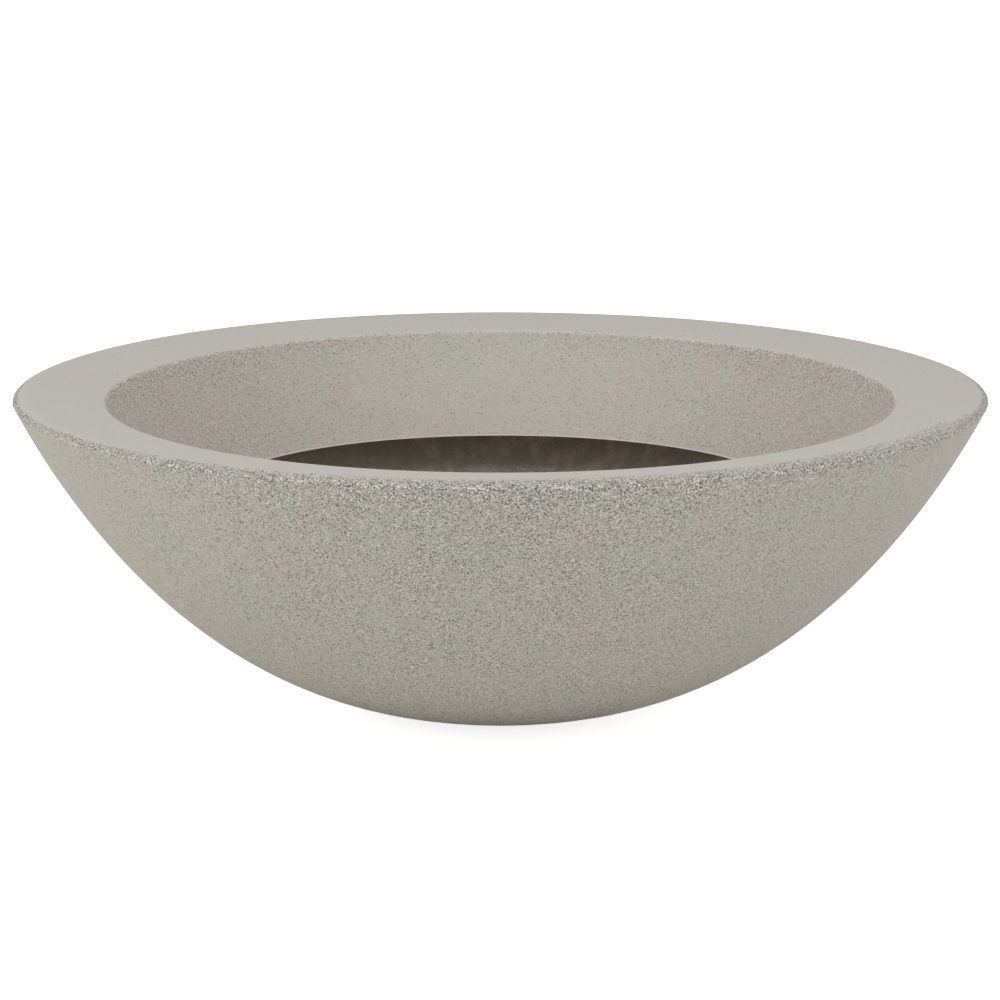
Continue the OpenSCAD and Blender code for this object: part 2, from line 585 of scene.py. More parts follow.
class Turning:
    """The geometry tree that turns a profile round the axis and makes its surface uneven."""

    COUNTS = ("Steps", "Pockets")
    SIZES = ("Swell Depth", "Swell Scale", "Relief Depth", "Relief Scale", "Seed", "Pocket Radius",
             "Pocket Circle", "Pocket Top")
    GUIDE_RADIUS = 1.0
    POCKET_STEPS = 96

    def __init__(self, surface: Surface) -> None:
        """Builds the tree.

        Args:
            surface: The unevenness of the pieces, where their faces have a share of it.
        """
        self.surface = surface
        graph, given = geometry_tree("turning", {
            **dict.fromkeys(self.COUNTS, "NodeSocketInt"), **dict.fromkeys(self.SIZES, "NodeSocketFloat"),
            "Material": "NodeSocketMaterial"})
        outline = graph.socket("GeometryNodeMeshToCurve", None, {"Mesh": given.outputs["Geometry"]})
        laid = graph.socket("GeometryNodeTransform", None, {
            "Geometry": outline, "Rotation": (math.pi / 2, 0.0, 0.0),
            "Translation": (-self.GUIDE_RADIUS, 0.0, 0.0)})
        ring = graph.socket("GeometryNodeCurvePrimitiveCircle", None, {
            "Resolution": given.outputs["Steps"], "Radius": self.GUIDE_RADIUS})
        upright = graph.socket("GeometryNodeSetCurveNormal", {"mode": "Z_UP"}, {"Curve": ring})
        swept = graph.socket("GeometryNodeCurveToMesh", None, {"Curve": upright, "Profile Curve": laid})
        outward = graph.socket("GeometryNodeFlipFaces", None, {"Mesh": swept})
        welded = graph.socket("GeometryNodeMergeByDistance", None, {"Geometry": outward, "Distance": WELD})
        moved = graph.socket("GeometryNodeSetPosition", None, {
            "Geometry": self._pockets(graph, given, welded), "Offset": self._offset(graph, given)})
        keep(graph, moved, given.outputs["Material"])
        self.tree = graph.tree

    @staticmethod
    def _offset(graph: Graph, given: bpy.types.Node) -> bpy.types.NodeSocket:
        """How far each point moves into the material, along its row's inward direction.

        Args:
            graph: The tree's graph.
            given: The tree's input node.

        Returns:
            The socket of the offset.
        """
        place = graph.socket("GeometryNodeInputPosition")
        depth: Signal | float = 0.0
        for name, detail in (("Swell", 1.0), ("Relief", 2.0)):
            share = Signal(graph, graph.mesh_attribute(name.lower()))
            noise = graph.signal("ShaderNodeTexNoise", {"noise_dimensions": "4D"}, {
                "Vector": place, "W": given.outputs["Seed"], "Scale": given.outputs[f"{name} Scale"],
                "Detail": detail})
            depth = share * noise * Signal(graph, given.outputs[f"{name} Depth"]) + depth
        level_place = graph.vector_math("MULTIPLY", {0: place, 1: (1.0, 1.0, 0.0)})
        radial = graph.vector_math("NORMALIZE", {0: level_place})
        inward = graph.mesh_attribute("inward", "FLOAT_VECTOR")
        parts = graph.node("ShaderNodeSeparateXYZ", None, {"Vector": inward}).outputs
        out = graph.vector_math("SCALE", {0: radial, "Scale": parts["X"]})
        up = graph.socket("ShaderNodeCombineXYZ", None, {"Z": parts["Z"]})
        return graph.vector_math("SCALE", {0: graph.vector_math("ADD", {0: out, 1: up}), "Scale": depth})

    def _pockets(self, graph: Graph, given: bpy.types.Node,
                 body: bpy.types.NodeSocket) -> bpy.types.NodeSocket:
        """Cuts round pockets up into the underside, on a circle round the axis.

        The cut leaves its new points without a finish, so each takes that of the nearest place on the piece
        as it was.

        Args:
            graph: The tree's graph.
            given: The tree's input node.
            body: The socket of the turned piece.

        Returns:
            The socket of the piece with its pockets, or as it was where it takes none.
        """
        count, material = given.outputs["Pockets"], given.outputs["Material"]
        cutter = graph.socket("GeometryNodeMeshCylinder", None, {
            "Vertices": self.POCKET_STEPS, "Radius": given.outputs["Pocket Radius"],
            "Depth": Signal(graph, given.outputs["Pocket Top"]) * 2})
        cutters = graph.socket("GeometryNodeRealizeInstances", None, {
            "Geometry": spread(graph, count, given.outputs["Pocket Circle"], cutter)})
        whole, tools = (
            graph.socket("GeometryNodeSetMaterial", None, {"Geometry": side, "Material": material})
            for side in (body, cutters))
        cut = graph.socket("GeometryNodeMeshBoolean", {"operation": "DIFFERENCE", "solver": "MANIFOLD"}, {
            "Mesh 1": whole, "Mesh 2": tools})
        for name in FACE_NAMES:
            uncut = graph.socket("GeometryNodeSampleNearestSurface", {"data_type": "FLOAT"}, {
                "Mesh": body, "Value": graph.mesh_attribute(name)})
            cut = graph.socket("GeometryNodeStoreNamedAttribute", {"data_type": "FLOAT", "domain": "POINT"}, {
                "Geometry": cut, "Name": name, "Value": uncut})
        first_whole_number, second_whole_number = 2, 3
        wanted = graph.signal("FunctionNodeCompare", {"data_type": "INT", "operation": "GREATER_THAN"}, {
            first_whole_number: count, second_whole_number: 0})
        return graph.socket("GeometryNodeSwitch", {"input_type": "GEOMETRY"}, {
            "Switch": wanted, "False": body, "True": cut})

    def turn(self, name: str, profile: Profile, steps: int, material: bpy.types.Material,
             pockets: Mapping[str, float] | None = None) -> bpy.types.Object:
        """Turns a profile into a piece.

        Args:
            name: The piece's name.
            profile: Its outline.
            steps: Flats round the axis.
            material: Its finish.
            pockets: The inputs of the tree that cut pockets, or None.

        Returns:
            The piece, a plain mesh.
        """
        piece = profile.host(name)
        grow(piece, self.tree, {"Steps": steps, "Material": material, "Pockets": 0,
                                **self.surface.values(), **(pockets or {})})
        soften(piece)
        return piece


def soften(piece: bpy.types.Object, sharp_degrees: float = 40.0) -> None:
    """Shades a piece smooth, apart from its sharp edges.

    Args:
        piece: The piece.
        sharp_degrees: The angle between faces from which an edge stays sharp.
    """
    piece.data.polygons.foreach_set("use_smooth", [True] * len(piece.data.polygons))
    piece.data.set_sharp_from_angle(angle=math.radians(sharp_degrees))


class Body(Enum):
    """The two bodies of the frame."""

    PLANTER = "planter"
    PLUG = "plug"


def settle(piece: bpy.types.Object, body: Body, slot: str, *nodes: str) -> None:
    """Puts a finished piece on its body.

    Args:
        piece: The piece.
        body: The body that it rides on.
        slot: Not used.
        nodes: The solids that it stands for.
    """
    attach(piece, body.value)
    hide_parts(*nodes)
    faces = len(piece.data.polygons)
    LOG.info("%s: %d faces, on %s, for %s", piece.name, faces, body.value, ", ".join(nodes))


# ---------------------------------------------------------------------------------------------------------
# Finishes


def blank(owner: bpy.types.Material | bpy.types.World) -> Graph:
    """Turns on the nodes of a material or a world.

    Args:
        owner: The material or the world.

    Returns:
        The graph of its tree, which holds no node yet.
    """
    owner.use_nodes = True
    owner.node_tree.nodes.clear()
    return Graph(owner.node_tree)


def shade(graph: Graph, colour: bpy.types.NodeSocket, roughness: Signal, gloss: float, height: Signal,
          depth: float) -> None:
    """Ends a material with its shader.

    Args:
        graph: The material's graph.
        colour: The socket of its colour.
        roughness: Its roughness, which stays under 1.
        gloss: Strength of its reflections, 0.5 for a plain plastic.
        height: Height of its fine relief.
        depth: Depth that a height of 1 stands for.
    """
    relief = graph.socket("ShaderNodeBump", None, {"Height": height, "Strength": 1.0, "Distance": depth})
    shader = graph.socket("ShaderNodeBsdfPrincipled", None, {
        "Base Color": colour, "Roughness": roughness.at_most(1.0), "Specular IOR Level": gloss,
        "Normal": relief})
    graph.node("ShaderNodeOutputMaterial", None, {"Surface": shader})


@dataclass(frozen=True)
class Specks:
    """Round specks of many sizes.

    Attributes:
        pitch: Distance from one place for a speck to the next.
        sizes: Radius of the smallest and of the largest speck, as shares of the pitch.
        core: Share of a speck's radius inside which it is at its full strength.
    """

    pitch: float
    sizes: Span
    core: float = 0.6

    def over(self, graph: Graph, place: bpy.types.NodeSocket, density: Signal) -> Signal:
        """Lays the specks over a surface.

        Args:
            graph: The material's graph.
            place: The socket of the coordinates.
            density: Share of the places that hold a speck.

        Returns:
            1 in a speck and 0 outside.
        """
        cells = graph.node("ShaderNodeTexVoronoi", {"feature": "F1"}, {
            "Vector": place, "Scale": 1 / self.pitch})
        chances = graph.node("ShaderNodeSeparateColor", None, {"Color": cells.outputs["Color"]}).outputs
        size = Signal(graph, chances["Red"]).between(*self.sizes)
        there = graph.math("LESS_THAN", Signal(graph, chances["Green"]), density)
        return (1 - Signal(graph, cells.outputs["Distance"]).ramp(size * self.core, size)) * there


@dataclass(frozen=True)
class CastConcrete:
    """Pale cast concrete, its skin trowelled shut or its grain opened as the mesh attributes say.

    Each pair whose name ends in _by_ and a word gives a share where that is 0 and where it is 1.

    Attributes:
        name: The material's name.
        stone: Colour of the blasted surface.
        trowelled: Colour of the surface where it is trowelled shut.
        raw_stone: Colour of the raw face inside the bowl, just under the collar.
        raw_lit: Painted light: colour of that face lower down, painted paler where more light comes in
            through the mouth; the pale streaks take it too.
        pit_shade: Colour of the painted shade in the little pits between the grains, and of the dark low
            places of the grain.
        sand: Colour of the bare light grains.
        warm: Tint that the warmer patches multiply the colour by.
        cool: Tint that the cooler patches multiply it by.
        shift: How far the patterns lie off the planter's own axes.
        fineness: Strength of each finer layer of the patterns, as a share of the one before.
        grain: The grains.
        pits: The pits.
        pits_at_full: Share of the places for a pit that hold one where the grain is cut to its full depth.
        shells: The large light grains.
        shells_by_grit: Share of the places for such a grain that hold one.
        ragged: The noise that frays the border between shut and open skin.
        fray: How far it frays the border.
        opening: Levels of the bare attribute between which the skin opens.
        back: How far back, as a sine, the front gives way to the back, from start to end.
        drift: How much further the blasting of the rim's edge reaches in on the right than at the front.
        stop: How much it stops short at the two ends, to the left and right.
        stop_power: How narrow those ends are.
        back_stop: How much it stops short all along the back.
        blasted: The patches that are blasted deeper.
        depth_by_blasted: How deep the grain is cut in them.
        shut_grit: How deep the grain is cut where the skin is shut.
        least_cut: Share of the blasting that colours the stone even where the grain is weaker on the sides.
        stone_by_cut: How much of the blasted colour shows.
        warm_patches: The warmer patches.
        cool_patches: The cooler patches.
        tint_by_stone: How strong these patches are.
        side_shade_warmth: Painted shade: how much warmer the surface is on the left and right where the grain
            is stronger there, on the slope.
        raw_lit_heights: The heights between which the raw face is painted paler, as painted light from the
            mouth.
        lit_spots: The spots in which that painted light is stronger.
        lit_by_spot: How strong it is, between the spots and in them.
        streaks: The pale streaks that run down the raw face.
        streak_share: How pale they are.
        streak_stretch: How slowly they change on the way down, against their change across.
        light_by_grit: How bright the high grains are.
        light_by_bare: How bright they are besides.
        dark_grain_and_shade_by_bare: How dark the low grains are, partly dark sand and partly painted shade
            in the low places of the grain, negative because it follows the grain downwards.
        shell_by_grit: How bright the large grains are.
        pit_shade_by_grit: How dark the painted shade in the pits is.
        raw_pit_shade: Share by which the painted shade in the pits is paler on the raw face.
        grain_height: Height of the grains, in millimetres where the cut is at its full depth.
        pit_depth: Depth of the pits, likewise.
        rough_by_grit: Roughness.
        gloss: Strength of the reflections.
    """

    name: str = "cast_concrete"
    stone: Colour = (0.482, 0.453, 0.398, 1.0)
    trowelled: Colour = (0.620, 0.590, 0.552, 1.0)
    raw_stone: Colour = (0.412, 0.369, 0.306, 1.0)
    raw_lit: Colour = (0.740, 0.672, 0.604, 1.0)
    pit_shade: Colour = (0.100, 0.092, 0.078, 1.0)
    sand: Colour = (0.900, 0.870, 0.810, 1.0)
    warm: Colour = (1.050, 0.965, 0.970, 1.0)
    cool: Colour = (0.935, 1.005, 0.950, 1.0)
    shift: tuple[float, float, float] = (0.37, 0.61, 0.23)
    fineness: float = 0.65
    grain: Noise = Noise(1.7 * MM, 2.0)
    pits: Specks = Specks(2.7 * MM, (0.14, 0.52))
    pits_at_full: float = 1.1
    shells: Specks = Specks(3.9 * MM, (0.12, 0.34))
    shells_by_grit: Span = (0.05, 0.85)
    ragged: Noise = Noise(5 * MM, 3.0)
    fray: float = 1.1
    opening: Span = (0.35, 0.65)
    back: Span = (0.0, 0.5)
    drift: float = 1.6
    stop: float = 6.6
    stop_power: float = 8.0
    back_stop: float = 2.5
    blasted: Noise = Noise(48 * MM, 3.0, 0.32, 0.68)
    depth_by_blasted: Span = (0.82, 1.17)
    shut_grit: float = 0.05
    least_cut: float = 0.8
    stone_by_cut: Span = (0.38, 1.68)
    warm_patches: Noise = Noise(36 * MM, 2.0, 0.44, 0.70)
    cool_patches: Noise = Noise(42 * MM, 2.0, 0.44, 0.70)
    tint_by_stone: Span = (0.35, 0.65)
    side_shade_warmth: float = 0.4
    raw_lit_heights: Span = (165 * MM, 147 * MM)
    lit_spots: Noise = Noise(4 * MM, 3.0, 0.38, 0.66)
    lit_by_spot: Span = (0.5, 1.4)
    streaks: Noise = Noise(15 * MM, 3.0, 0.42, 0.70)
    streak_share: float = 0.5
    streak_stretch: float = 0.10
    light_by_grit: Span = (3.1, 5.9)
    light_by_bare: Span = (2.2, 1.0)
    dark_grain_and_shade_by_bare: Span = (-2.3, -4.6)
    shell_by_grit: Span = (0.12, 0.52)
    pit_shade_by_grit: Span = (0.35, 0.75)
    raw_pit_shade: float = 0.6
    grain_height: float = 1.2
    pit_depth: float = 0.5
    rough_by_grit: Span = (0.80, 0.95)
    gloss: float = 0.25

    def _shut(self, graph: Graph, place: bpy.types.NodeSocket, right: Signal, behind: Signal) -> Signal:
        """Finds where the skin is shut, up to a frayed border that reaches unevenly far over the rim.

        Args:
            graph: The material's graph.
            place: The socket of the patterns' coordinates.
            right: Cosine of the direction from the axis, 1 on the right and -1 on the left.
            behind: 0 at the front and 1 at the back.

        Returns:
            1 where the skin is shut and 0 where it is open.
        """
        bare = graph.attribute("bare")
        further = right * (1 - behind) * self.drift - (right * right) ** self.stop_power * self.stop
        further = further - behind * self.back_stop
        on_rim = graph.math("LESS_THAN", graph.attribute("sides"), 0.0)
        reach = bare * (1 - bare) * further * on_rim
        fray = (self.ragged.level(graph, place, self.fineness) - 0.5) * self.fray
        return 1 - (bare + reach + fray).ramp(*self.opening)

    def _skin_colour(self, graph: Graph, place: bpy.types.NodeSocket, stony: Signal,
                     sideways: Signal) -> bpy.types.NodeSocket:
        """Colours the outside and the rim, before its grain.

        Args:
            graph: The material's graph.
            place: The socket of the patterns' coordinates.
            stony: How much of the blasted colour shows.
            sideways: How much stronger the grain and the blasted colour are here because it is on a side;
                where positive, on the slope, painted shade.

        Returns:
            The socket of the colour.
        """
        strength = stony.between(*self.tint_by_stone)
        warmth_and_side_shade = self.warm_patches.patches(graph, place, self.fineness) * strength
        # Painted shade: the slope's left and right are warmer.
        warmth_and_side_shade = warmth_and_side_shade + sideways.at_least(0.0) * self.side_shade_warmth
        coolness = self.cool_patches.patches(graph, place, self.fineness) * strength
        colour = graph.mix(stony, self.trowelled, self.stone)
        colour = graph.mix(warmth_and_side_shade, colour, self.warm, "MULTIPLY")
        return graph.mix(coolness, colour, self.cool, "MULTIPLY")

    def _raw_colour(self, graph: Graph, place: bpy.types.NodeSocket, height: Signal) -> bpy.types.NodeSocket:
        """Colours the raw face inside the bowl, with painted light that makes it paler lower down, and with
        pale streaks.

        Args:
            graph: The material's graph.
            place: The socket of the patterns' coordinates.
            height: Height over the ground.

        Returns:
            The socket of the colour.
        """
        drawn = graph.socket("ShaderNodeMapping", None, {
            "Vector": place, "Scale": (1.0, 1.0, self.streak_stretch)})
        # Painted light: lower down the raw face is painted paler, stronger in spots; the streaks are pale
        # marks on the face itself.
        thickness = self.lit_spots.patches(graph, place, self.fineness).between(*self.lit_by_spot)
        streaks = self.streaks.patches(graph, drawn, self.fineness) * self.streak_share
        return graph.mix(height.ramp(*self.raw_lit_heights) * thickness + streaks, self.raw_stone, self.raw_lit)

    def material(self) -> bpy.types.Material:
        """Builds the material.

        Returns:
            The material.
        """
        made = bpy.data.materials.new(self.name)
        graph = blank(made)
        centred = graph.node("ShaderNodeTexCoord").outputs["Object"]
        place = graph.socket("ShaderNodeMapping", None, {"Vector": centred, "Location": self.shift})
        parts = graph.node("ShaderNodeSeparateXYZ", None, {"Vector": centred}).outputs
        x, y, z = (Signal(graph, parts[axis]) for axis in "XYZ")
        radius = (x * x + y * y + WELD) ** 0.5
        right = x / radius
        bare, blast, sides, raw = (graph.attribute(name) for name in ("bare", "grit", "sides", "raw"))

        shut = self._shut(graph, place, right, (y / radius).ramp(*self.back))
        # Stronger or weaker grain on the left and right; on the slope this paints shade, darker on its left
        # and right.
        sideways = right * right * sides
        cut = blast * (sideways + 1)
        depth = self.blasted.patches(graph, place, self.fineness).between(*self.depth_by_blasted)
        grit = cut * depth * (1 - shut) + shut * self.shut_grit
        grains = self.grain.level(graph, place, self.fineness) - 0.5
        pits = self.pits.over(graph, place, grit * self.pits_at_full)
        shells = self.shells.over(graph, place, grit.between(*self.shells_by_grit))

        stone_and_side_shade = cut.at_least(blast * self.least_cut).between(*self.stone_by_cut).at_most(1.0)
        colour = self._skin_colour(graph, place, (1 - shut) * bare * bare * stone_and_side_shade, sideways)
        colour = graph.mix(raw, colour, self._raw_colour(graph, place, z))
        light = grains * grit * grit.between(*self.light_by_grit) * bare.between(*self.light_by_bare)
        colour = graph.mix(light.at_least(0.0), colour, self.sand)
        colour = graph.mix(shells * grit.between(*self.shell_by_grit), colour, self.sand)
        # Dark sand and painted shade: the low places of the grain are darkened towards the pit shade colour.
        dark_grain_and_shade = grains * grit * bare.between(*self.dark_grain_and_shade_by_bare)
        colour = graph.mix(dark_grain_and_shade.at_least(0.0), colour, self.pit_shade)
        # Painted shade: the pits are darkened towards the colour of shade.
        pit_shade_share = pits * grit.between(*self.pit_shade_by_grit) * (1 - raw * self.raw_pit_shade)
        colour = graph.mix(pit_shade_share, colour, self.pit_shade)

        height = (grains * self.grain_height - pits * self.pit_depth) * grit
        shade(graph, colour, grit.between(*self.rough_by_grit), self.gloss, height, MM)
        return made


MORTAR: Colour = (0.455, 0.430, 0.372, 1.0)


def frame_finish(slot: str) -> bpy.types.Material:
    """The plain material that the frame brings for a slot, which the slot's own solids wear."""
    return bpy.data.materials[slot]


# ---------------------------------------------------------------------------------------------------------
# Sub-assemblies


PADS = 4  # foot pads under the bowl


class Faces(Enum):
    """The finishes that a mould, a trowel and a blasting gun leave on the planter."""

    BLASTED_EDGE = Face(bare=1.0, grit=1.05, sides=-0.2, swell=0.3, relief=1.0)
    TROWELLED_TOP = Face(grit=1.0, sides=-0.2, swell=0.8, relief=0.05)
    WALL_TOP = Face(bare=1.0, grit=1.0, sides=-0.85, swell=0.3, relief=1.0)
    WALL_LOW = Face(bare=1.0, grit=0.58, sides=-0.85, swell=1.0, relief=0.35)
    # On the slope, sides paints shade: darker and warmer on the left and right.
    SLOPE_TOP = Face(bare=1.0, grit=0.38, sides=1.2, swell=1.0, relief=0.10)
    SLOPE_LOW = Face(bare=1.0, grit=0.21, sides=1.2, swell=1.0, relief=0.10)
    RAW_INSIDE = Face(bare=1.0, grit=0.18, raw=1.0, swell=1.0, relief=0.6)
    BEDDED = Face(bare=1.0, grit=0.3)
    FOOT = Face(bare=1.0, grit=0.4, relief=0.1)


@dataclass
class Wall:
    """The outer wall of the bowl, a cubic Bezier curve in a profile, and the seat round its top.

    Attributes:
        joint: Point where the wall meets the rim.
        foot: Point where the wall meets the foot.
        thickness: Thickness of the wall.
        joint_lean: Lean from upright at the joint, in degrees.
        foot_lean: Lean from upright at the foot, in degrees.
        pull: Length over which the wall keeps each lean.
        seat_width: Width of the seat that carries the collar.
        seat_lean: Fall of the seat towards the axis, in degrees.
        seat_fringe: Width at the inner end of the seat over which one finish gives way to the next.
        bed: Thickness of the mortar on the seat.
    """

    HALVINGS = 50

    joint: Vector
    foot: Vector
    thickness: float = 18 * MM
    joint_lean: float = 27.0
    foot_lean: float = 77.0
    pull: float = 150 * MM
    seat_width: float = 22 * MM
    seat_lean: float = 30.0
    seat_fringe: float = 2 * MM
    bed: float = 1 * MM

    def __post_init__(self) -> None:
        """Works out the curve's points, the inner end of the seat and the top of the bowl under the bed."""
        self.ends = (self.joint, self.joint + self.pull * heading(270 - self.joint_lean),
                     self.foot - self.pull * heading(270 - self.foot_lean), self.foot)
        across = heading(90 + self.seat_lean)
        self.seat_end = self.joint + (heading(180 + self.seat_lean) * self.seat_width
                                      / math.cos(math.radians(self.seat_lean)))
        self.bed_drop = across * -self.bed
        self.top_place = self.last(self.point, lambda p: (p - self.joint).dot(across) > -self.bed)
        self.top = self.point(self.top_place)
        self.inward = self.inner(0.0) - self.point(0.0)
        self.inward.normalize()

    def point(self, t: float) -> Vector:
        """The outer surface, from 0 at the joint to 1 at the foot."""
        a, b, c, d = self.ends
        return a * (1 - t) ** 3 + b * 3 * (1 - t) ** 2 * t + c * 3 * (1 - t) * t * t + d * t ** 3

    def inner(self, t: float) -> Vector:
        """The inner surface, a wall's thickness from the outer one.

        Args:
            t: Place along the wall, from 0 at the joint to 1 at the foot.

        Returns:
            The point there.
        """
        a, b, c, d = self.ends
        slope = (b - a) * (1 - t) ** 2 + (c - b) * 2 * (1 - t) * t + (d - c) * t * t
        return self.point(t) + Vector((slope.y, -slope.x)).normalized() * self.thickness

    def last(self, curve: Callable[[float], Vector], holds: Callable[[Vector], bool]) -> float:
        """Finds, by halving, the last place on a curve of the wall at which something holds.

        Args:
            curve: The outer or the inner surface.
            holds: What holds at a point, from the joint to the place that is sought.

        Returns:
            The place, from 0 at the joint to 1 at the foot.
        """
        low, high = 0.0, 1.0
        for _ in range(self.HALVINGS):
            middle = (low + high) / 2
            if holds(curve(middle)):
                low = middle
            else:
                high = middle
        return low


@dataclass
class BowlShell:
    """The thin cast bowl: a flat foot, a curved wall and the drain hole.

    Attributes:
        wall: The wall and its seat.
        floor_z: Height of the floor inside.
        flange_radius: Radius of the recess for the sleeve's flange.
        flange_depth: Depth of that recess.
        sleeve_radius: Radius of the drain hole.
        pad_circle: Radius of the circle through the middles of the foot pads.
        pad_pocket: Radius of each pad's pocket.
        pad_top: Height of the top of the pockets.
        foot_rounding: Rounding between the foot and the outer wall.
        top_rounding: Rounding at the top of the inner wall.
        floor_rounding: Rounding between the inner wall and the floor.
        coarse_depth: Depth under the joint over which the blasting weakens.
        side_depth: Depth under the joint over which the grain on the sides comes to be as strong as at the
            front.
        steps: Flats round the axis.
        wall_rows: Rows along the outer wall.
        crowding: Power by which those rows crowd towards the joint.
        inner_rows: Rows along the inner wall.
        flat_pitch: Greatest distance between rows on the floor and under the foot.
    """

    wall: Wall
    floor_z: float
    flange_radius: float
    pad_circle: float
    pad_pocket: float
    pad_top: float
    flange_depth: float = 3 * MM
    sleeve_radius: float = 24 * MM
    foot_rounding: float = 4 * MM
    top_rounding: float = 2 * MM
    floor_rounding: float = 10 * MM
    coarse_depth: float = 24 * MM
    side_depth: float = 180 * MM
    steps: int = STEPS
    wall_rows: int = 37
    crowding: float = 1.35
    inner_rows: int = 13
    flat_pitch: float = 30 * MM

    def _wall_face(self, depth: float) -> Face:
        """The finish of the outer wall at a depth under the joint, roughest at the top."""
        face = Faces.WALL_LOW.value.towards(Faces.WALL_TOP.value, math.exp(-depth / self.coarse_depth))
        return replace(face, sides=face.sides * math.exp(-depth / self.side_depth))

    def _outer_corners(self) -> list[Corner]:
        """Follows the outer wall, with closer rows near the joint.

        Returns:
            The corners from the foot up to the joint.
        """
        made = []
        for i in range(self.wall_rows + 1):
            share = (1 - i / self.wall_rows) ** self.crowding
            point = self.wall.point(self.wall.top_place + (1 - self.wall.top_place) * share)
            made.append(Corner(point, self._wall_face(self.wall.joint.y - point.y)))
        made[0] = replace(made[0], rounding=self.foot_rounding)
        made[-1] = replace(made[-1], inward=self.wall.inward)
        return made

    def _inner_corners(self) -> list[Corner]:
        """Follows the inside, from the seat down to the floor.

        Returns:
            The corners of the inner end of the seat, the inner wall and the floor's edge.
        """
        seat_end = self.wall.seat_end + self.wall.bed_drop
        along_seat = (seat_end - self.wall.top).normalized()
        raw = Faces.RAW_INSIDE.value
        limit = self.wall.last(self.wall.inner, lambda p: p.y > seat_end.y)
        bottom = self.wall.last(self.wall.inner, lambda p: p.y > self.floor_z)
        made = [Corner(seat_end - along_seat * self.wall.seat_fringe, Faces.BEDDED.value),
                Corner(seat_end, raw)]
        for i in range(self.inner_rows + 1):
            point = self.wall.inner(limit + (bottom - limit) * i / self.inner_rows)
            made.append(Corner(point, raw, rounding=self.top_rounding if i == 0 else 0.0))
        made[-1] = replace(made[-1], rounding=self.floor_rounding, pitch=self.flat_pitch)
        return made

    def profile(self) -> Profile:
        """Draws the underside, outer wall, seat, inner wall, floor and drain hole.

        Returns:
            The outline.
        """
        foot_z = self.wall.foot.y
        bedded = Faces.BEDDED.value
        recess_z = self.floor_z - self.flange_depth
        corners = [Corner(Vector((self.sleeve_radius, foot_z)), Faces.FOOT.value, pitch=self.flat_pitch)]
        corners += self._outer_corners()
        corners += self._inner_corners()
        corners += [Corner(Vector((self.flange_radius, self.floor_z)), bedded),
                    Corner(Vector((self.flange_radius, recess_z)), bedded),
                    Corner(Vector((self.sleeve_radius, recess_z)), bedded)]
        return Profile(corners)

    def build(self, turning: Turning, concrete: bpy.types.Material) -> None:
        """Builds the shell and puts it on the planter.

        Args:
            turning: The turning tree.
            concrete: The finish.
        """
        pockets = {"Pockets": PADS, "Pocket Radius": self.pad_pocket, "Pocket Circle": self.pad_circle,
                   "Pocket Top": self.pad_top}
        piece = turning.turn("cast_bowl", self.profile(), self.steps, concrete, pockets)
        settle(piece, Body.PLANTER, "concrete", "bowl_shell")


